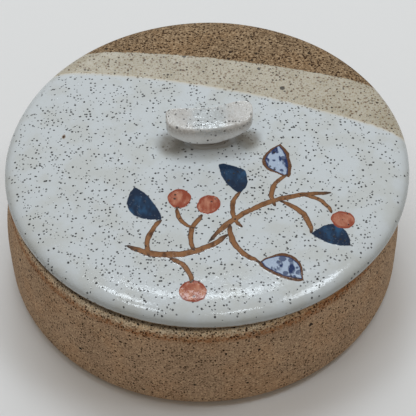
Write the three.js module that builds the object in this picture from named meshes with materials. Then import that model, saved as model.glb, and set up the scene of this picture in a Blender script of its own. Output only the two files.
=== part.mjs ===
// Lidded trinket bowl in speckled stoneware, thrown on the wheel.
// Millimetres, +Z up, origin on the table under the middle of the bowl.

import * as THREE from 'three';

// Bowl
const bowlHeight = 44; // table to the flat seat that the lid lies on
const rimDiameter = 142.2; // outside of the wall at the rim
const wallThickness = 6.9; // at the mouth
const bellyBulge = 1.6; // how far the wall stands out past the rim, at its widest
const bellyHeight = 22; // where the wall is widest
const baseRounding = 6; // outer curve from the foot into the wall
const shoulderRounding = 3.2; // sanded curve from the wall onto the seat
const mouthRounding = 1.2; // inner edge of the seat
const floorThickness = 6.5; // between the inside and the hollow of the foot
const innerCove = 11; // curve from the inner wall into the floor
const footWidth = 9; // flat ring that stands on the table
const footHollow = 1.5; // depth trimmed out inside the foot
const footSlope = 2; // width of the slope into that hollow

// Lid
const lidOverhang = 1.4; // how far the lid reaches past the rim
const lidThickness = 7; // at the start of the rounded edge
const lidDome = 0.8; // further rise to the middle
const lidEdgeWidth = 8.7; // top surface that rolls over to the edge
const lidEdgeHeight = 3; // underside to the widest point of the edge
const lidUnderRounding = 2.6; // edge into the underside

// Locating ring under the lid
const ringClearance = 3.2; // between the ring and the bowl's mouth, all round
const ringWidth = 5;
const ringDrop = 6; // how deep it hangs in the mouth
const ringRounding = 1.4; // its lower corners

// The lid lies off centre, by a part of the play that the ring leaves it
const playTaken = 0.78;
const playDirection = THREE.MathUtils.degToRad(40);

// Lug handle
const lugLength = 31;
const lugWidth = 11.6;
const lugCorners = 2.5; // 2 is an ellipse in plan, higher is squarer
const lugNeckHeight = 3.8; // lid to the underside of the bar
const lugNeckShare = 0.62; // neck's length against the bar's
const lugNeckFullness = 0.4; // how much of that narrowing its width takes at the lid, the rest by the bar
const lugWaistShare = 0.5; // how far in the neck is pinched
const lugEdgeHeight = 7.2; // thickness of the bar at its edge
const lugEdgeRounding = 1.3;
const lugRimShare = 0.9; // where the rolled edge ends and the dish begins
const lugDish = 0.9; // depth of the thumb's hollow in the top
const lugLeftRise = { under: 2.6, top: 2.2 }; // lift of each end over the middle
const lugRightRise = { under: 1.2, top: 4 };
const lugBend = 1; // how far both ends bend towards the back
const lugTurn = THREE.MathUtils.degToRad(4);
const lugFromAxis = new THREE.Vector2(1.3, 6.3);
const lugSeatMargin = 1.5; // flat left around the neck on the lid

// Facets
const facetsRound = 60;
const facetsLug = 40;
const stepsCurve = 3; // an arc gets twice as many

// Sizes that follow from those above
const rimRadius = rimDiameter / 2;
const bellyRadius = rimRadius + bellyBulge;
const mouthRadius = rimRadius - wallThickness;
const footRadius = bellyRadius - baseRounding;
const floorHeight = footHollow + floorThickness;
const lidRadius = rimRadius + lidOverhang;
const lidTop = lidThickness + lidDome;
const ringOuterRadius = mouthRadius - ringClearance;
const ringInnerRadius = ringOuterRadius - ringWidth;
const lidShift = new THREE.Vector2(playTaken * ringClearance, 0).rotateAround(new THREE.Vector2(), playDirection);
const lugRimHeight = lugNeckHeight + lugEdgeHeight;
const lugSeatRadius = lugSeatMargin + Math.hypot(
  Math.abs(lugFromAxis.x) + lugNeckShare * lugLength / 2,
  Math.abs(lugFromAxis.y) + lugWidth / 2,
);

const quarter = Math.PI / 2;

// Turns a profile of radius and height about the upright axis.
function turned(profile) {
  return new THREE.LatheGeometry(profile.getPoints(stepsCurve), facetsRound).rotateX(quarter);
}

// A quarter of an ellipse that goes on from the profile's last point.
function rounding(profile, centre, radii, from, to) {
  profile.absellipse(centre[0], centre[1], radii[0], radii[1], from, to, to < from);
}

// Wall, floor and trimmed foot in one piece, from under the floor round the outside and down the inside.
function bowlGeometry() {
  const hollowRadius = footRadius - footWidth;
  const profile = new THREE.Path();
  profile.moveTo(0, footHollow);
  profile.lineTo(hollowRadius - footSlope, footHollow);
  profile.lineTo(hollowRadius, 0);
  profile.lineTo(footRadius, 0);
  rounding(profile, [footRadius, baseRounding], [baseRounding, baseRounding], -quarter, 0);
  profile.lineTo(bellyRadius, bellyHeight);
  profile.quadraticCurveTo(
    bellyRadius, (bellyHeight + bowlHeight) / 2,
    rimRadius, bowlHeight - shoulderRounding,
  );
  rounding(
    profile, [rimRadius - shoulderRounding, bowlHeight - shoulderRounding],
    [shoulderRounding, shoulderRounding], 0, quarter,
  );
  profile.lineTo(mouthRadius + mouthRounding, bowlHeight);
  rounding(
    profile, [mouthRadius + mouthRounding, bowlHeight - mouthRounding],
    [mouthRounding, mouthRounding], quarter, Math.PI,
  );
  profile.lineTo(mouthRadius, floorHeight + innerCove);
  rounding(
    profile, [mouthRadius - innerCove, floorHeight + innerCove],
    [innerCove, innerCove], 0, -quarter,
  );
  profile.lineTo(0, floorHeight);
  return turned(profile);
}

// A slab with a rolled edge, its underside at height 0.
function lidDiscGeometry() {
  const rollRadius = lidRadius - lidEdgeWidth;
  const profile = new THREE.Path();
  profile.moveTo(0, 0);
  profile.lineTo(lidRadius - lidUnderRounding, 0);
  rounding(
    profile, [lidRadius - lidUnderRounding, lidEdgeHeight],
    [lidUnderRounding, lidEdgeHeight], -quarter, 0,
  );
  rounding(
    profile, [rollRadius, lidEdgeHeight],
    [lidEdgeWidth, lidThickness - lidEdgeHeight], 0, quarter,
  );
  profile.quadraticCurveTo((lugSeatRadius + rollRadius) / 2, lidTop, lugSeatRadius, lidTop);
  profile.lineTo(0, lidTop);
  return turned(profile);
}

// A plain ring that hangs below height 0, against the lid's underside.
function locatingRingGeometry() {
  const corner = [ringRounding, ringRounding];
  const cornerHeight = -ringDrop + ringRounding;
  const profile = new THREE.Path();
  profile.moveTo(ringInnerRadius, 0);
  profile.lineTo(ringInnerRadius, cornerHeight);
  rounding(profile, [ringInnerRadius + ringRounding, cornerHeight], corner, Math.PI, Math.PI + quarter);
  profile.lineTo(ringOuterRadius - ringRounding, -ringDrop);
  rounding(profile, [ringOuterRadius - ringRounding, cornerHeight], corner, -quarter, 0);
  profile.lineTo(ringOuterRadius, 0);
  profile.lineTo(ringInnerRadius, 0);
  return turned(profile);
}

// Half the lug's section: share of its plan against height, from under the neck up over the edge into the dish.
function lugSection() {
  const edgeShare = 1 - 2 * lugEdgeRounding / lugWidth;
  const section = new THREE.Path();
  section.moveTo(lugNeckShare, 0);
  section.quadraticCurveTo(lugWaistShare, lugNeckHeight / 2, edgeShare, lugNeckHeight);
  rounding(
    section, [edgeShare, lugNeckHeight + lugEdgeRounding],
    [1 - edgeShare, lugEdgeRounding], -quarter, 0,
  );
  rounding(
    section, [lugRimShare, lugRimHeight - lugEdgeRounding],
    [1 - lugRimShare, lugEdgeRounding], 0, quarter,
  );
  section.quadraticCurveTo(lugRimShare / 2, lugRimHeight - lugDish, 0, lugRimHeight - lugDish);
  return section.getPoints(stepsCurve);
}

// A point of the lug: a squarish oval in plan, bent back, with both ends lifted more and more above the neck.
function lugPoint(share, height, turn) {
  const across = Math.cos(turn);
  const deep = Math.sin(turn);
  const aboveNeck = THREE.MathUtils.smoothstep(height, 0, lugNeckHeight);
  const depthShare = 1 - (1 - share) * THREE.MathUtils.lerp(lugNeckFullness, 1, aboveNeck);
  const along = share * Math.sign(across) * Math.abs(across) ** (2 / lugCorners);
  const out = depthShare * Math.sign(deep) * Math.abs(deep) ** (2 / lugCorners);
  const rise = along > 0 ? lugRightRise : lugLeftRise;
  const underLift = rise.under * aboveNeck;
  const topLift = (rise.top - rise.under) * THREE.MathUtils.clamp((height - lugNeckHeight) / lugEdgeHeight, 0, 1);
  return new THREE.Vector3(
    along * lugLength / 2,
    out * lugWidth / 2 + lugBend * along ** 2,
    height + (underLift + topLift) * along ** 2,
  );
}

// The lug's rings from the foot of its neck up, closed by a fan at the foot and one in the dish.
function lugGeometry() {
  const section = lugSection().slice(0, -1);
  const points = [lugPoint(0, 0, 0)];
  for (const { x: share, y: height } of section) {
    for (let i = 0; i < facetsLug; i++) {
      points.push(lugPoint(share, height, 2 * Math.PI * i / facetsLug));
    }
  }
  const last = points.push(lugPoint(0, lugRimHeight - lugDish, 0)) - 1;
  const faces = [];
  for (let i = 0; i < facetsLug; i++) {
    const next = (i + 1) % facetsLug;
    faces.push(0, 1 + next, 1 + i);
    for (let ring = 0; ring < section.length - 1; ring++) {
      const low = 1 + ring * facetsLug;
      const high = low + facetsLug;
      faces.push(low + i, low + next, high + next);
      faces.push(low + i, high + next, high + i);
    }
    const top = last - facetsLug;
    faces.push(top + i, top + next, last);
  }
  return new THREE.BufferGeometry().setFromPoints(points).setIndex(faces);
}

function named(name, geometry, material) {
  const mesh = new THREE.Mesh(geometry, material);
  mesh.name = name;
  return mesh;
}

const bowl = named(
  'bowl', bowlGeometry(),
  new THREE.MeshStandardMaterial({ color: '#7d6650', roughness: 0.85, metalness: 0 }),
);
const disc = named(
  'lid_disc', lidDiscGeometry(),
  new THREE.MeshStandardMaterial({ color: '#bcc3c4', roughness: 0.25, metalness: 0 }),
);
const ring = named(
  'lid_locating_ring', locatingRingGeometry(),
  new THREE.MeshStandardMaterial({ color: '#87705a', roughness: 0.9, metalness: 0 }),
);
const lug = named(
  'lid_handle', lugGeometry(),
  new THREE.MeshStandardMaterial({ color: '#b9bab8', roughness: 0.3, metalness: 0 }),
);
lug.position.set(lugFromAxis.x, lugFromAxis.y, lidTop);
lug.rotation.z = lugTurn;

const lid = new THREE.Group();
lid.position.set(lidShift.x, lidShift.y, bowlHeight);
lid.add(disc, ring, lug);

const trinketBowl = new THREE.Group();
trinketBowl.add(bowl, lid);

export default trinketBowl;
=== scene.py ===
import math

import bpy
from mathutils import Matrix, Vector, noise


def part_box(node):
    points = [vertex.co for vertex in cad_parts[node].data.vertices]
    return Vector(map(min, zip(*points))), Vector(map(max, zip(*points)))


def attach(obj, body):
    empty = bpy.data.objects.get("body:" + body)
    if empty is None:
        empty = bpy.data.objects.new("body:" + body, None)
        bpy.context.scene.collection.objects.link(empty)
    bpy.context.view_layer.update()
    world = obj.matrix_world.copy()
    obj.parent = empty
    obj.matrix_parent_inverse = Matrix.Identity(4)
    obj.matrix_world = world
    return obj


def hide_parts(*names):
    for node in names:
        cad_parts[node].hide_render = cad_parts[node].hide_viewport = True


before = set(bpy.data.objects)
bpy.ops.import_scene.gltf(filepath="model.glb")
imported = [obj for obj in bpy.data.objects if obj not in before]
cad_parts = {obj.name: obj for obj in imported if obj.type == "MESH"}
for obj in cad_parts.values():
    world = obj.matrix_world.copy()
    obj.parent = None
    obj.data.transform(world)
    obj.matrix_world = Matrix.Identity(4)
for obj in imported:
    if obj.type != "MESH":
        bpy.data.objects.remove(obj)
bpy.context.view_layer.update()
mm = 0.001

# The bowl
# A wide low pot, thrown in brown stoneware full of sand and iron grit, with a foot turned into its base.
# Outside it is bare clay, sponged down to the sand at the shoulder. Inside it is glazed.

bowl_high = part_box("bowl")[1]
lid_low, lid_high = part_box("lid_disc")
lid_axis = Vector(((lid_low.x + lid_high.x) / 2, (lid_low.y + lid_high.y) / 2, lid_low.z))
belly_radius = bowl_high.x
belly_height = 17 * mm
seat_height = bowl_high.z
rim_radius = belly_radius - 2.6 * mm
mouth_radius = belly_radius - 8.5 * mm
base_rounding = 6 * mm
seat_width = 3.3 * mm
shoulder_end = 40 * mm
mouth_rounding = 1.2 * mm
foot_radius = belly_radius - base_rounding
foot_width = 9 * mm
foot_hollow = 1.5 * mm
foot_slope = 2 * mm
floor_height = 8 * mm
inner_cove = 11 * mm
line_spacing = 2.7 * mm
line_depth = 0.05 * mm
wall_wobble = 0.25 * mm
rim_oval = 0.35 * mm
tool_spacing = 2.4 * mm
tool_depth = 0.12 * mm
finger_spacing = 7 * mm
finger_depth = 0.15 * mm
inner_spacing = 5 * mm
wheel_steps = 320
clay_step = 0.7 * mm


def arc(centre, radii, start, end, steps=16):
    """Points of radius and height on a piece of an ellipse, between two angles in degrees."""
    turns = [math.radians(start + (end - start) * i / steps) for i in range(steps + 1)]
    return [(centre[0] + radii[0] * math.cos(t), centre[1] + radii[1] * math.sin(t)) for t in turns]


def bow(start, pull, end, steps=16):
    """Points on a smooth bow from start to end, drawn towards a third point."""
    points = []
    for t in (i / steps for i in range(steps + 1)):
        weights = ((1 - t) ** 2, 2 * t * (1 - t), t * t)
        points.append(tuple(sum(w * p[k] for w, p in zip(weights, (start, pull, end))) for k in (0, 1)))
    return points


def evened(outline, step):
    """The same outline with points at even steps along it."""
    corners = [Vector(p) for p in outline]
    lengths = [(b - a).length for a, b in zip(corners, corners[1:])]
    count = round(sum(lengths) / step)
    points, passed, leg = [corners[0]], 0, 0
    for i in range(1, count):
        goal = sum(lengths) * i / count
        while passed + lengths[leg] < goal:
            passed += lengths[leg]
            leg += 1
        points.append(corners[leg].lerp(corners[leg + 1], (goal - passed) / lengths[leg]))
    return points + [corners[-1]]


def solid(name, vertices, faces):
    """A smooth mesh piece from its points and faces."""
    mesh = bpy.data.meshes.new(name)
    mesh.from_pydata(vertices, [], faces)
    mesh.polygons.foreach_set("use_smooth", [True] * len(mesh.polygons))
    piece = bpy.data.objects.new(name, mesh)
    bpy.context.scene.collection.objects.link(piece)
    return piece


def turned(name, outline, centre, worked):
    """Turns an outline about an upright axis. worked moves each point as the potter's hands did."""
    rows = evened(outline, clay_step)
    closed = (rows[0] - rows[-1]).length < clay_step / 10
    if closed:
        rows = rows[:-1]
    vertices, rings = [], []
    for radius, height in rows:
        steps = wheel_steps if radius > clay_step / 10 else 1
        rings.append([len(vertices) + i for i in range(steps)] * (wheel_steps // steps))
        for turn in (math.tau * i / steps for i in range(steps)):
            out, up = worked(radius, height, turn)
            vertices.append(centre + Vector((out * math.cos(turn), out * math.sin(turn), up)))
    faces = []
    for low, high in zip(rings, rings[1:] + rings[:1] if closed else rings[1:]):
        for i in range(wheel_steps):
            j = (i + 1) % wheel_steps
            face = list(dict.fromkeys((low[i], low[j], high[j], high[i])))
            faces.append(face)
    return solid(name, vertices, faces)


def wander(radius, height, turn, size, seed=0):
    """A slow unevenness between -1 and 1 over a turned surface, in lumps about as large as size."""
    place = Vector((radius * math.cos(turn), radius * math.sin(turn), height)) / size
    return noise.noise(place + Vector((seed, 0, 0)), noise_basis="PERLIN_NEW")


def smooth_step(value, low, high):
    """0 below low and 1 above high, with a smooth rise between them."""
    share = min(max((value - low) / (high - low), 0), 1)
    return share * share * (3 - 2 * share)


def spiral(place, spacing, turn):
    """A groove that moves on by one spacing with each turn of the wheel, from -1 to 1."""
    return math.sin(math.tau * (place / spacing + turn / math.tau))


def hand_thrown(radius, height, turn):
    """Throwing lines on a wall not quite round, a tool's rings under the foot, and finger rings inside."""
    wall = smooth_step(height, 4 * mm, 10 * mm) * (1 - smooth_step(height, 38 * mm, 42 * mm))
    seat_end = mouth_radius + 3 * mm
    if radius > seat_end:
        lines = spiral(height, line_spacing, turn) * (0.5 + wander(radius, height, turn, 12 * mm))
        radius += wall * (line_depth * lines + wall_wobble * wander(radius, height, turn, 45 * mm, 5))
        oval = smooth_step(height, 20 * mm, 40 * mm) * smooth_step(radius, seat_end, rim_radius)
        return radius - oval * rim_oval * (1 + math.cos(2 * turn)), height
    if height < foot_hollow + mm:
        depth = smooth_step(radius, mm, 6 * mm) * (1 - smooth_step(radius, 50 * mm, 54 * mm))
        return radius, height + depth * tool_depth * spiral(radius, tool_spacing, turn)
    if height < floor_height + mm:
        depth = smooth_step(radius, 2 * mm, 9 * mm)
        return radius, height + depth * finger_depth * (spiral(radius, finger_spacing, -turn) - 1)
    return radius + wall * tool_depth * spiral(height, inner_spacing, -turn), height


foot_inside = foot_radius - foot_width
bowl_outline = (
    [(0, foot_hollow), (foot_inside - foot_slope, foot_hollow), (foot_inside, 0)]
    + arc((foot_radius, base_rounding), (base_rounding, base_rounding), -90, 0)
    + bow(
        (belly_radius, belly_height),
        (belly_radius, (belly_height + shoulder_end) / 2),
        (rim_radius + 0.2 * mm, shoulder_end),
    )
    + bow(
        (rim_radius + 0.2 * mm, shoulder_end),
        (rim_radius - 0.5 * mm, seat_height - 0.5 * mm),
        (mouth_radius + seat_width, seat_height),
    )
    + arc(
        (mouth_radius + mouth_rounding, seat_height - mouth_rounding),
        (mouth_rounding, mouth_rounding), 90, 180,
    )
    + arc((mouth_radius - inner_cove, floor_height + inner_cove), (inner_cove, inner_cove), 0, -90)
    + [(0, floor_height)]
)
bowl = turned("thrown_bowl", bowl_outline, Vector((0, 0, 0)), hand_thrown)


class Wire:
    """A socket of a material's nodes. Sums written with wires become Math nodes."""

    def __init__(self, tree, socket=None):
        self.tree = tree
        self.socket = socket

    def node(self, kind, settings, inputs, output=0):
        """Adds any node: its settings come first, then the values or wires of its inputs."""
        made = self.tree.nodes.new(kind)
        for name, setting in settings.items():
            setattr(made, name, setting)
        for name, value in inputs.items():
            if isinstance(value, Wire):
                self.tree.links.new(value.socket, made.inputs[name])
            else:
                made.inputs[name].default_value = value
        return Wire(self.tree, made.outputs[output])

    def beside(self, output):
        """Another output of the same node."""
        return Wire(self.tree, self.socket.node.outputs[output])

    def maths(self, operation, *values):
        return self.node("ShaderNodeMath", {"operation": operation}, dict(enumerate(values)))

    def vector(self, operation, *values, output=0):
        settings = {"operation": operation}
        return self.node("ShaderNodeVectorMath", settings, dict(enumerate(values)), output)

    def scaled(self, amount):
        return self.node("ShaderNodeVectorMath", {"operation": "SCALE"}, {"Vector": self, "Scale": amount})

    def distance(self, middle, shape=(1, 1, 0)):
        """How far each place lies from this middle, once its three sides are multiplied by shape."""
        from_middle = self.vector("MULTIPLY", self.vector("SUBTRACT", self, middle), shape)
        return self.vector("LENGTH", from_middle, output="Value")

    def __add__(self, other):
        return self.maths("ADD", self, other)

    def __sub__(self, other):
        return self.maths("SUBTRACT", self, other)

    def __rsub__(self, other):
        return self.maths("SUBTRACT", other, self)

    def __mul__(self, other):
        return self.maths("MULTIPLY", self, other)

    def __truediv__(self, other):
        return self.maths("DIVIDE", self, other)

    def __pow__(self, other):
        return self.maths("POWER", self, other)

    def __abs__(self):
        return self.maths("ABSOLUTE", self)

    def __lt__(self, other):
        return self.maths("LESS_THAN", self, other)

    def __or__(self, other):
        """The larger of two values, which joins two masks."""
        return self.maths("MAXIMUM", self, other)

    __radd__ = __add__
    __rmul__ = __mul__

    def tinted(self, tint, mask):
        """This colour, multiplied by a tint where the mask is 1."""
        settings = {"data_type": "RGBA", "blend_type": "MULTIPLY"}
        return self.node("ShaderNodeMix", settings, {0: mask, 6: self, 7: tint}, 2)

    def ramp(self, low, high):
        """0 below low and 1 above high, with a smooth rise between them. low may be the higher one."""
        settings = {"interpolation_type": "SMOOTHSTEP"}
        inputs = {"Value": self, "From Min": low, "From Max": high}
        return self.node("ShaderNodeMapRange", settings, inputs)

    def to(self, other, mask):
        """This colour where the mask is 0, and the other where it is 1."""
        return self.node("ShaderNodeMix", {"data_type": "RGBA"}, {0: mask, 6: self, 7: other}, 2)


def glow(red, green, blue):
    """A screen colour, 0 to 255, as light."""
    parts = [c / 255 for c in (red, green, blue)]
    return (*(c / 12.92 if c <= 0.04045 else ((c + 0.055) / 1.055) ** 2.4 for c in parts), 1)


def cloud(at, size, detail=1, stretch=(1, 1, 1)):
    """A soft unevenness from 0 to 1, in patches of this size in mm."""
    place = at.vector("MULTIPLY", at, tuple(s / size for s in stretch))
    return at.node("ShaderNodeTexNoise", {}, {"Vector": place, "Scale": 1, "Detail": detail})


def between(at, dark, light, mask):
    """A colour between two fixed ones."""
    return at.node("ShaderNodeMix", {"data_type": "RGBA"}, {0: mask, 6: dark, 7: light}, 2)


def specks(at, spacing, share, radius, edge=0.1):
    """Grains in the clay, cut by its surface. A share of the cells, spacing mm wide, hold one each."""
    cell = at.node("ShaderNodeTexVoronoi", {}, {"Vector": at, "Scale": 1 / spacing})
    luck = at.node("ShaderNodeSeparateColor", {}, {"Color": cell.beside("Color")})
    reach = (luck.beside("Green") * 0.5 + 0.5) * (radius / spacing)
    inside = (reach - cell).ramp(-edge / 2 / spacing, edge / 2 / spacing)
    return inside * (luck < share) * (luck.beside("Blue") * 0.25 + 0.75)


def frayed(at, amount):
    """Places moved a little this way and that, so that grains aren't round."""
    stray = at.node("ShaderNodeTexNoise", {}, {"Vector": at, "Scale": 2.2, "Detail": 1}, "Color")
    return at.vector("ADD", at, stray.scaled(amount))


def stoneware(at, dark=(120, 99, 78), light=(200, 171, 142), grit=0.55, sandy=0.4, coarse=1):
    """Bare fired clay: colour, roughness and relief in mm."""
    loose = frayed(at, 0.5)
    grain = cloud(at, 0.45, 3).ramp(0.3, 0.7) * 0.75 + cloud(at, 14, 2) * 0.5 - 0.15
    body = between(at, glow(*dark), glow(*light), grain)
    body = body.tinted(glow(255, 238, 218), cloud(at, 13, 3).ramp(0.42, 0.66) * 0.36)
    sand = specks(loose, 1.2, share=grit, radius=0.55 * coarse, edge=0.2)
    crumbs = specks(loose, 0.92, share=grit, radius=0.4 * coarse)
    iron = specks(loose, 3.6, share=grit * 0.4, radius=0.72, edge=0.12)
    colour = body.to(glow(220, 194, 160), sand * sandy)
    colour = colour.to(glow(42, 24, 13), crumbs)
    colour = colour.to(glow(16, 11, 9), iron)
    relief = cloud(at, 0.5, 2) * 0.08 + sand * 0.05 - crumbs * 0.05 + iron * 0.05
    return colour, 0.9 - iron * 0.25, relief


def speckled_glaze(at, thin=(184, 188, 187), thick=(193, 200, 205), share=1.5, iron=(20, 20, 25)):
    """White glaze over iron grit: colour, roughness and relief in mm."""
    loose = frayed(at, 0.5)
    depth = cloud(at, 9, 3).ramp(0.35, 0.6) * 0.65 + cloud(at, 0.7, 2) * 0.4
    milk = between(at, glow(*thin), glow(*thick), depth)
    crowd = cloud(at, 4, 1).ramp(0.25, 0.7)
    grit = specks(loose, 1.24, share=crowd * share, radius=0.44, edge=0.08)
    lumps = specks(loose, 4.2, share=share * 0.3, radius=0.56, edge=0.08)
    colour = milk.to(glow(*iron), grit | lumps)
    relief = cloud(at, 3.5, 1) * 0.07 + cloud(at, 1.2, 2) * 0.05 - grit * 0.04
    return colour, 0.12 + (grit | lumps) * 0.3, relief


def finished(piece, name, surface):
    """Gives a piece its clay and glaze, which surface(at) makes from the wire of its places in mm."""
    made = bpy.data.materials.new(name)
    made.use_nodes = True
    tree = made.node_tree
    at = Wire(tree).node("ShaderNodeTexCoord", {}, {}, "Object").scaled(1 / mm)
    colour, roughness, relief, glazed = surface(at)
    normal = at.node("ShaderNodeBump", {}, {"Distance": mm, "Height": relief})
    looks = {"Base Color": colour, "Roughness": roughness, "Normal": normal}
    dull = at.node("ShaderNodeBsdfPrincipled", {}, {**looks, "Specular IOR Level": 0.12})
    glossy = at.node("ShaderNodeBsdfPrincipled", {}, {**looks, "Specular IOR Level": 0.6})
    shown = at.node("ShaderNodeMixShader", {}, {0: glazed, 1: dull, 2: glossy})
    tree.nodes.remove(tree.nodes["Principled BSDF"])
    tree.links.new(shown.socket, tree.nodes["Material Output"].inputs["Surface"])
    piece.data.materials.append(made)


def bowl_surface(at):
    """Bare outside with a sandy shoulder, and a glazed inside that ends just under the seat."""
    across = at.node("ShaderNodeSeparateXYZ", {}, {"Vector": at})
    height = across.beside("Z") + (cloud(at, 3, 2) - 0.5) * 1.6 - seat_height / mm
    radius = at.distance((0, 0, 0))
    # The same clay as the lid's bare band, painted lighter on this wall for the light a wall lacks.
    clay, clay_roughness, clay_relief = stoneware(at)
    sponged, _, sponged_relief = stoneware(
        at, dark=(116, 94, 70), light=(255, 242, 216), grit=0.6, sandy=0.95, coarse=1.08,
    )
    shoulder = (height + (cloud(at, 0.9, 3) - 0.5) * 2.4).ramp(-5.4, -3.8)
    scorched = cloud(at, 0.9, 3).ramp(0.42, 0.58)
    border = height.ramp(-7.1, -5.3) * height.ramp(-2.2, -4.4)
    less_right = across.ramp(48, 22)
    less_left = across.ramp(-66, -36) * 0.5 + 0.5
    colour = clay.to(sponged, shoulder * less_right * less_left)
    colour = colour.to(glow(150, 98, 56), border * scorched * 0.65)
    colour = colour.tinted(glow(240, 208, 172), border * 0.3 | shoulder * across.ramp(15, 45) * 0.8)
    colour = colour.to(glow(52, 27, 14), specks(frayed(at, 0.5), 0.95, share=border * 0.75, radius=0.42))
    # Painted shade in the seam on the shoulder, just under the lid's edge where the lid lies.
    painted_seam_shade = at.distance(tuple(lid_axis / mm)).ramp(72, 71.2) * radius.ramp(69.8, 69) * shoulder
    colour = colour.to(glow(34, 26, 20), painted_seam_shade * 0.75)
    relief = clay_relief + (sponged_relief - clay_relief) * shoulder * 2
    glaze, glaze_roughness, glaze_relief = speckled_glaze(at)
    inside = (radius < mouth_radius / mm + 0.5) * height.ramp(-2.2, -2.8)
    inside = inside * across.beside("Z").ramp(floor_height / mm - 3, floor_height / mm - 2)
    colour = colour.to(glaze, inside)
    roughness = clay_roughness + (glaze_roughness - clay_roughness) * inside
    return colour, roughness, relief + (glaze_relief - relief + 0.2) * inside, inside


finished(bowl, "bowl_stoneware", bowl_surface)
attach(bowl, "bowl")
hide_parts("bowl")

# The lid
# A round slab of the same clay with a rolled edge, its underside bare. It was dipped twice from the front,
# in a thin cream glaze and then less deep in a thick blue-white one, which leaves bands across the back.

lid_radius = (lid_high.x - lid_low.x) / 2
lid_top = lid_high.z - lid_low.z
lid_dome = 0.8 * mm
lid_edge_width = 13 * mm
lid_edge_fullness = 3
lid_edge_height = 3 * mm
lid_under_rounding = 2.6 * mm
lid_wave_size = 26 * mm
lid_wave_depth = 0.12 * mm
lid_wave_drop = 0.08 * mm
rib_spacing = 6.5 * mm
rib_depth = 0.006 * mm
edge_wobble_size = 30 * mm
edge_wobble = 0.2 * mm
lug_seat_radius = 19 * mm


def hand_levelled(radius, height, turn):
    """The lid's top is a little wavy, as the rib left it, and its edge isn't quite round."""
    past_lug = smooth_step(radius, lug_seat_radius, lug_seat_radius + 8 * mm)
    top = smooth_step(height, 4 * mm, 6 * mm) * past_lug
    waves = lid_wave_depth * wander(radius, height, turn, lid_wave_size, 3) - lid_wave_drop
    ripple = rib_depth * spiral(radius, rib_spacing, turn)
    edge = smooth_step(radius, lid_radius - 9 * mm, lid_radius)
    wobble = edge_wobble * (wander(radius, height, turn, edge_wobble_size, 7) - 0.5)
    return radius + edge * wobble, height + top * (waves + ripple)


def lid_rise(radius):
    """Height of the lid's top: flat for the lug, falling a little, then rolling over faster and faster."""
    fall = max((radius - lug_seat_radius) / (lid_radius - lug_seat_radius), 0)
    rolled = max((radius - lid_radius + lid_edge_width) / lid_edge_width, 0)
    top = lid_top - lid_dome * fall ** 2
    return lid_edge_height + (top - lid_edge_height) * math.sqrt(max(1 - rolled ** lid_edge_fullness, 0))


lid_radii = [lid_radius * math.sin(math.radians(90 - i / 3)) for i in range(1, 270)]
lid_outline = (
    [(0, 0)]
    + arc((lid_radius - lid_under_rounding, lid_edge_height), (lid_under_rounding, lid_edge_height), -90, 0)
    + [(radius, lid_rise(radius)) for radius in lid_radii]
    + [(0, lid_top)]
)
lid = turned("glazed_lid", lid_outline, lid_axis, hand_levelled)

# The edge of each dip, in mm: how far behind the lid's middle it runs, how much it falls to the right for
# each mm across, and how much it bends.
cream_dip = (49.1, 0.167, 0.00127)
white_dip = (33.9, 0.253, 0.00163)

# Painted shadow on the lid under both raised ends of the lug, as middle and half size in mm, and a
# blister's middle.
lug_shadow_places = (((-12, 4.5), (6.2, 6.4)), ((14.6, 6), (5.2, 5.4)))
blister_middle = (-50.8, 10.3)

# Brush marks on the lid, in mm from its middle: start, end, how far the mark bows to its left, and width.
twigs = (
    ((-27, -41), (7.6, -37), -6, 2.6), ((1, -39.6), (44, -19), 6, 2.3), ((-19, -45.5), (-15, -30), 2.5, 2),
    ((-4, -43.5), (-1, -28), 2.5, 1.9), ((12.5, -34), (12, -18), 3, 1.9), ((24, -25), (29, -10), 3, 1.9),
    ((-12, -46.5), (-5, -57), 2, 1.9), ((8, -32.5), (18, -49), -3, 2), ((26, -22.5), (36, -37), 3, 2),
    ((-4, -34), (-10, -24), 2, 1.6), ((33, -19.5), (43.5, -28), 2, 1.7),
)
leaves = (
    ((-15, -30), (-25, -15), 2.5, 9), ((12, -19), (5, -5), -2.5, 8.5), ((36, -37), (49, -42), 2.5, 8.5),
)
pale_leaves = (((29, -11), (27, 4), 2.5, 9), ((18, -49), (32, -56), 2.5, 9))
berries = (
    ((-13, -21), (-5, -20), 0, 8.6), ((-9, -60.5), (0, -60), 0, 8.8),
    ((43, -30), (51, -32), 0, 7.6), ((-1.5, -27), (4, -20), 0, 8),
)


def brushed(at, mark, pointed, square):
    """How far inside a brush mark each place lies, in mm, and where along it from -1 to 1.

    pointed is 0.5 for round ends and more for sharp ones, and a higher square keeps the width for longer.
    """
    start, end, bowing, width = mark
    start, end = Vector(start), Vector(end)
    middle, reach = (start + end) / 2, (end - start) / 2
    along = reach / reach.length_squared
    aside = Vector((-reach.y, reach.x)) / reach.length
    share = at.vector("DOT_PRODUCT", at, (*along, 0), output="Value") - along.dot(middle)
    off = at.vector("DOT_PRODUCT", at, (*aside, 0), output="Value") - aside.dot(middle)
    bowed = off - (1 - share * share) * bowing
    within = at.maths("MINIMUM", abs(share), 1)
    half = (1 - within ** square) ** pointed * (width / 2)
    return half - abs(bowed) - (abs(share) - within) * reach.length, share


def painted(at, marks, pointed, square):
    """Depth inside the nearest of several like marks, and how near its ends a place lies."""
    deepest, ends = None, None
    for mark in marks:
        depth, share = brushed(at, mark, pointed, square)
        tip = depth.ramp(-0.2, 0.2) * (share * share)
        deepest = depth if deepest is None else deepest | depth
        ends = tip if ends is None else ends | tip
    return deepest, ends


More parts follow.
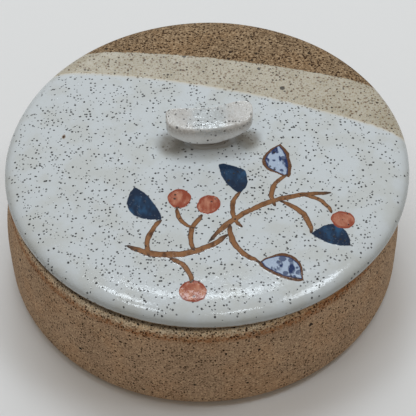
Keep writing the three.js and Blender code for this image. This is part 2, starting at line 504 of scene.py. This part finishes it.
def sprig(at, own, colour):
    """The brushed sprig over this colour, and how far inside its marks each place lies, in mm."""
    wash = cloud(at, 2.6, 3, (1, 0.5, 1))
    leaf, leaf_ends = painted(own, leaves, pointed=0.85, square=2)
    pale, _ = painted(own, pale_leaves, pointed=0.85, square=2)
    berry, _ = painted(own, berries, pointed=0.5, square=2)
    twig, twig_ends = painted(own, twigs, pointed=0.35, square=6)
    cobalt = between(at, glow(30, 74, 110), glow(4, 35, 62), (wash * 0.9 + leaf_ends * 0.5).ramp(0.25, 0.6))
    dots = specks(own, 2.5, share=1, radius=1.2, edge=0.3)
    dots = dots | pale.ramp(1.2, 0.8) | wash.ramp(0.53, 0.64)
    washed = between(at, glow(160, 176, 198), glow(20, 44, 88), dots)
    strength = (wash + berry.ramp(1.2, 0) * 0.4).ramp(0.32, 0.62)
    red = between(at, glow(180, 124, 102), glow(138, 66, 48), strength)
    strength = twig.ramp(0.6, 0.1) * 0.8 | wash.ramp(0.45, 0.75)
    brown = between(at, glow(134, 94, 62), glow(78, 50, 34), strength)
    brown = brown.to(glow(56, 42, 36), twig_ends.ramp(0.5, 1))
    colour = colour.to(cobalt, leaf.ramp(-0.12, 0.22)).to(washed, pale.ramp(-0.12, 0.22))
    colour = colour.to(red, berry.ramp(-0.12, 0.22))
    drawn = twig | (0.6 - abs(pale))
    return colour.to(brown, drawn.ramp(-0.1, 0.15)), leaf | pale | berry | drawn


def lid_surface(at):
    """Bare clay, cream and blue-white in bands from the back, with a brushed sprig on the white."""
    own = at.vector("SUBTRACT", at, tuple(lid_axis / mm))
    across = at.node("ShaderNodeSeparateXYZ", {}, {"Vector": own})
    deep, up = across.beside("Y"), across.beside("Z")
    drift = (cloud(at, 2.2, 3) - 0.5) * 1.3
    cream_line, white_line = (
        deep - (middle - across * fall - across * across * bend) + drift
        for middle, fall, bend in (cream_dip, white_dip)
    )
    cream_line = cream_line + (cloud(at, 0.5, 2) - 0.5) * 1.2
    coated = (up + drift).ramp(1.9, 2.5)
    cream = cream_line.ramp(0.25, -0.25) * coated
    white = white_line.ramp(0.3, -0.3) * coated

    clay, clay_roughness, clay_relief = stoneware(
        at, dark=(88, 70, 50), light=(160, 136, 108), grit=1.5, sandy=0.25, coarse=1.12,
    )
    thin, thin_roughness, thin_relief = speckled_glaze(
        at, thin=(163, 157, 141), thick=(178, 173, 159), share=0.6, iron=(36, 25, 17),
    )
    thin = thin.tinted(glow(222, 208, 184), cloud(at, 0.6, 3).ramp(0.45, 0.65) * 0.7)
    thin_grit = specks(frayed(at, 0.6), 1.2, share=0.9, radius=0.5, edge=0.14)
    thin = thin.to(glow(92, 62, 36), thin_grit * 0.8)
    thin = thin.to(glow(22, 17, 14), specks(frayed(at, 0.7), 7, share=0.4, radius=1.1))
    milk, milk_roughness, milk_relief = speckled_glaze(at, share=own.distance((0, 0, 0)).ramp(71, 66) + 0.3)
    # Greyer glaze low on the rolled edge: partly thin glaze over the clay, partly painted shade.
    milk = milk.tinted(glow(218, 219, 218), up.ramp(6.3, 3.6))
    colour = clay.to(thin, cream)
    fringe = white_line.ramp(0.9, 0) * white_line.ramp(-1.6, -0.2)
    colour = colour.to(milk, white).to(glow(196, 184, 160), fringe * 0.35)

    # Painted shadow of the lug's raised ends on the lid's glaze, greyish brown and patchy.
    for middle, (half_width, half_depth) in lug_shadow_places:
        away = own.distance((*middle, 0), (1 / half_width, 1 / half_depth, 0.01))
        colour = colour.to(glow(104, 97, 84), away.ramp(1.25, 0.5) * (cloud(at, 2.5, 2) * 0.5 + 0.45))
    shaky = at.vector("ADD", own, cloud(at, 4, 3).beside("Color").scaled(1.6))
    colour, brushwork = sprig(at, shaky, colour)
    grit = specks(frayed(at, 0.5), 1.6, share=0.4, radius=0.5, edge=0.2)
    colour = colour.to(glow(40, 36, 36), grit * brushwork.ramp(0, 0.1))
    blister = shaky.distance((*blister_middle, 0), (1.8, 1, 0))
    colour = colour.to(glow(122, 92, 62), blister.ramp(1.5, 0.9) * 0.8)
    colour = colour.to(glow(48, 34, 26), blister.ramp(0.9, 0.5))

    roughness = clay_roughness + (thin_roughness + 0.22 - clay_roughness) * cream
    roughness = roughness + (milk_roughness - roughness) * white
    relief = clay_relief + (thin_relief - clay_relief + 0.1) * cream
    relief = relief + (milk_relief - relief + 0.14) * white_line.ramp(0.6, -1.6) * coated
    relief = relief + brushwork.ramp(-0.5, 0.5) * 0.04
    return colour, roughness, relief, cream | white


finished(lid, "lid_glaze_bands", lid_surface)
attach(lid, "lid")
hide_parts("lid_disc")

# The locating ring
# A plain ring of bare clay luted under the lid. It hangs in the bowl's mouth and keeps the lid from
# sliding off.

ring_low, ring_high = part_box("lid_locating_ring")
ring_outer = (ring_high.x - ring_low.x) / 2
ring_inner = ring_outer - 5 * mm
ring_drop = ring_high.z - ring_low.z
ring_rounding = 1.4 * mm
ring_wobble_size = 15 * mm
ring_wobble = 0.2 * mm


def luted(radius, height, turn):
    """The ring was pressed on by hand, so its lower part is a little uneven."""
    loose = smooth_step(-height, 0, 3 * mm)
    return radius + loose * ring_wobble * wander(radius, height, turn, ring_wobble_size, 11), height


ring_outline = (
    [(ring_inner, 0)]
    + arc((ring_inner + ring_rounding, ring_rounding - ring_drop), (ring_rounding, ring_rounding), 180, 270)
    + arc((ring_outer - ring_rounding, ring_rounding - ring_drop), (ring_rounding, ring_rounding), -90, 0)
    + [(ring_outer, 0), (ring_inner, 0)]
)
ring = turned("locating_ring", ring_outline, lid_axis, luted)
finished(ring, "ring_stoneware", lambda at: (*stoneware(at), 0))
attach(ring, "lid_ring")
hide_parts("lid_locating_ring")

# The lug
# A pinched bar of clay luted on the lid, dished on top for the thumb and raised at both ends for the
# fingers. It is dipped with the lid. Lengths are plain numbers of mm, and a share is one of half its plan.

lug_length = 31
lug_width = 11.5
lug_corners = 2.9
lug_neck_height = 2.7
lug_foot_share = 0.6
lug_neck_share = 0.43
lug_edge_height = 8.6
lug_under_rounding = 2.6
lug_edge_rounding = 1.4
lug_rim_share = 0.86
lug_dish = 0.45
lug_left_rise = (3, 0.6, 3.8)
lug_right_rise = (4, 0.9, 4.5)
lug_bend = 0.9
lug_turn = math.radians(5)
lug_from_axis = Vector((1.2, 6.1)) * mm
lug_place = lid_axis + Vector((*lug_from_axis, lid_top))
lug_dent_size = 5
lug_dent_depth = 0.35
lug_shifts = [Vector((shift, 0, 0)) for shift in (3, 23, 43)]
lug_steps = 240


def lug_section():
    """Half the lug's section, as share of its plan and height, from its foot to the middle of the dish."""
    edge_share = 1 - 2 * lug_under_rounding / lug_width
    rim_height = lug_neck_height + lug_edge_height
    dish_height = rim_height - lug_dish
    neck = (lug_neck_share, 1)
    under = (1 - edge_share, lug_under_rounding)
    rim = (1 - lug_rim_share, lug_edge_rounding)
    return (
        bow((lug_foot_share, 0), (lug_neck_share + 0.04, 0.2), neck)
        + bow(neck, (lug_neck_share - 0.04, lug_neck_height - 0.8), (edge_share, lug_neck_height))
        + arc((edge_share, lug_neck_height + lug_under_rounding), under, -90, 0)
        + arc((lug_rim_share, rim_height - lug_edge_rounding), rim, 0, 90)
        + bow((lug_rim_share, rim_height), (lug_rim_share * 0.9, dish_height), (0, dish_height))
    )


def lug_point(share, height, turn):
    """A squarish oval in plan, bent back. Both ends are lifted above the neck, their back edge the most."""
    above_neck = smooth_step(height, 0, lug_neck_height)
    across, deep = (math.copysign(abs(c) ** (2 / lug_corners), c) for c in (math.cos(turn), math.sin(turn)))
    along = share * across
    out = (1 - (1 - share) * max(above_neck, 0.5)) * deep
    under, front, back = lug_right_rise if along > 0 else lug_left_rise
    top = front + (back - front) * (1 + share * deep) / 2
    raised = min(max((height - lug_neck_height) / lug_edge_height, 0), 1)
    lift = under * above_neck + (top - under) * raised
    return Vector((
        along * lug_length / 2,
        out * lug_width / 2 + lug_bend * along ** 2,
        height + lift * abs(along) ** (1.5 if along > 0 else 2),
    ))


def lug_grip():
    """The lug's mesh, with the dents that fingers left in it."""
    drawn = lug_section()
    section = drawn[:1] + [point for last, point in zip(drawn, drawn[1:]) if math.dist(last, point) > 0.001]
    vertices, faces = [lug_point(0, 0, 0)], []
    for share, height in section[:-1]:
        for i in range(lug_steps):
            point = lug_point(share, height, math.tau * i / lug_steps)
            places = [point / lug_dent_size + shift for shift in lug_shifts]
            dent = Vector([noise.noise(place, noise_basis="PERLIN_NEW") for place in places])
            vertices.append(point + smooth_step(height, 0, 2) * lug_dent_depth * dent)
    vertices.append(lug_point(0, section[-1][1], 0))
    for i in range(lug_steps):
        j = (i + 1) % lug_steps
        faces.append((0, 1 + j, 1 + i))
        for low in range(1, len(vertices) - 1 - lug_steps, lug_steps):
            faces.append((low + i, low + j, low + lug_steps + j, low + lug_steps + i))
        top = len(vertices) - 1 - lug_steps
        faces.append((top + i, top + j, len(vertices) - 1))
    to_frame = Matrix.Translation(lug_place) @ Matrix.Rotation(lug_turn, 4, "Z") @ Matrix.Scale(mm, 4)
    return solid("lug_grip", [to_frame @ v for v in vertices], faces)


def lug_surface(at):
    """The lid's white glaze with less grit: bluish in the dish, buff at both ends, painted shade under the
    bar.
    """
    own = at.vector("SUBTRACT", at, tuple(lug_place / mm))
    settings = {"rotation_type": "Z_AXIS"}
    own = at.node("ShaderNodeVectorRotate", settings, {"Vector": own, "Angle": -lug_turn})
    split = at.node("ShaderNodeSeparateXYZ", {}, {"Vector": own})
    along = split / (lug_length / 2)
    out = (split.beside("Y") - along * along * lug_bend) / (lug_width / 2)
    plan = (abs(along) ** lug_corners + abs(out) ** lug_corners) ** (1 / lug_corners)
    up = split.beside("Z")
    top = up.ramp(6.8, 10.2)
    rim = plan.ramp(0.74, 0.84) * top
    glaze, roughness, relief = speckled_glaze(
        at, thin=(217, 221, 223), thick=(236, 242, 246), share=top * 0.3 + 0.4,
    )
    pool = abs(along + cloud(at, 4, 2) * 0.6 - 0.3).ramp(0.6, 0.15) * top
    # The top is tinted down, so the front face is painted lighter for the light it lacks; the dish is
    # bluish where glaze pools.
    glaze = glaze.tinted(glow(212, 207, 203), top).tinted(glow(242, 250, 255), pool)
    glaze = glaze.tinted(glow(226, 222, 216), cloud(at, 0.8, 3).ramp(0.5, 0.7) * (top * 0.4 + 0.2))
    # Whitish patches along the rim: partly pooled glaze, partly a painted highlight.
    glaze = glaze.to(glow(212, 213, 211), rim * cloud(at, 0.7, 3).ramp(0.45, 0.6) * 0.6)
    # Painted shade on the neck under the bar, and a light line of pooled glaze at the foot.
    glaze = glaze.to(glow(100, 92, 84), up.ramp(3.2, 2) * 0.75).to(glow(166, 171, 175), up.ramp(1.3, 0.6))
    relief = relief + cloud(at, 1.8, 2) * 0.2 + cloud(at, 0.8, 2) * 0.14
    return glaze, roughness + 0.02, relief, 1


lug = lug_grip()
finished(lug, "lug_glaze", lug_surface)
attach(lug, "lid")
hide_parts("lid_handle")

# The table
# A plain pale table top. It isn't part of the object.

table_reach = 1.6
table_corners = [(x * table_reach, y * table_reach, 0) for x, y in ((-1, -1), (1, -1), (1, 1), (-1, 1))]
table = solid("table", table_corners, [(0, 1, 2, 3)])
table_paint = bpy.data.materials.new("table_paint")
table_paint.use_nodes = True
table_shader = table_paint.node_tree.nodes["Principled BSDF"]
table_shader.inputs["Base Color"].default_value = glow(218, 219, 220)
table_shader.inputs["Roughness"].default_value = 0.7
table.data.materials.append(table_paint)

# The light
# A pale room. The window behind the bowl and the wide skylight over it give most of the lamps' light, and
# the small lamps all round give the glaze its highlights.

room_level = 0.36
room = bpy.data.worlds.new("room")
room.use_nodes = True
room_light = room.node_tree.nodes["Background"]
room_light.inputs["Color"].default_value = glow(255, 238, 217)
room_light.inputs["Strength"].default_value = room_level
bpy.context.scene.world = room


def lamp(name, place, size, level):
    """A soft lamp that points at the lid and lights it to a share of full level."""
    light = bpy.data.lights.new(name, "AREA")
    light.shape = "RECTANGLE"
    light.size, light.size_y = size
    away = Vector(place) - lid_axis
    light.energy = level * math.pi ** 2 * away.length_squared
    light.color = glow(237, 247, 255)[:3]
    made = bpy.data.objects.new(name, light)
    made.location = place
    made.rotation_mode = "QUATERNION"
    made.rotation_quaternion = away.to_track_quat("Z", "Y")
    bpy.context.scene.collection.objects.link(made)
    return made


lamp("window", (-0.04, 1.1, 0.62), (0.4, 0.16), 0.14)
lamp("skylight", (0, 0.45, 1.2), (0.8, 0.4), 0.42).visible_glossy = False
lamp("back_glint", (-0.01, 0.5, 1.1), (0.3, 0.07), 0.045)
lamp("left_glint", (-0.32, 0.1, 1.1), (0.16, 0.2), 0.07)
lamp("front_glint", (0.12, -0.21, 1.1), (0.2, 0.06), 0.035)
lamp("corner_glint", (-0.36, -0.26, 1.1), (0.17, 0.14), 0.055)
lamp("right_glint", (0.5, 0, 1.1), (0.28, 0.26), 0.14)

# The camera
# It is in front of the bowl and looks down on it at fifty degrees.

camera_depression = math.radians(50.008)
camera_distance = 543.75 * mm
camera_roll = math.radians(-1.003)
camera_lens = 119.33
aim = Vector((lid_axis.x + 0.1 * mm, lid_axis.y + 17.54 * mm, 0))
gaze = Vector((0, math.cos(camera_depression), -math.sin(camera_depression)))
lens = bpy.data.cameras.new("camera")
lens.sensor_width = 36
lens.lens = camera_lens
lens.clip_start, lens.clip_end = 0.01, 20
camera = bpy.data.objects.new("camera", lens)
camera.rotation_mode = "QUATERNION"
camera.location = aim - gaze * camera_distance
level_view = gaze.to_track_quat("-Z", "Y")
camera.rotation_quaternion = level_view @ Matrix.Rotation(camera_roll, 3, "Z").to_quaternion()
bpy.context.scene.collection.objects.link(camera)
bpy.context.scene.camera = camera
bpy.context.scene.view_settings.view_transform = "Standard"
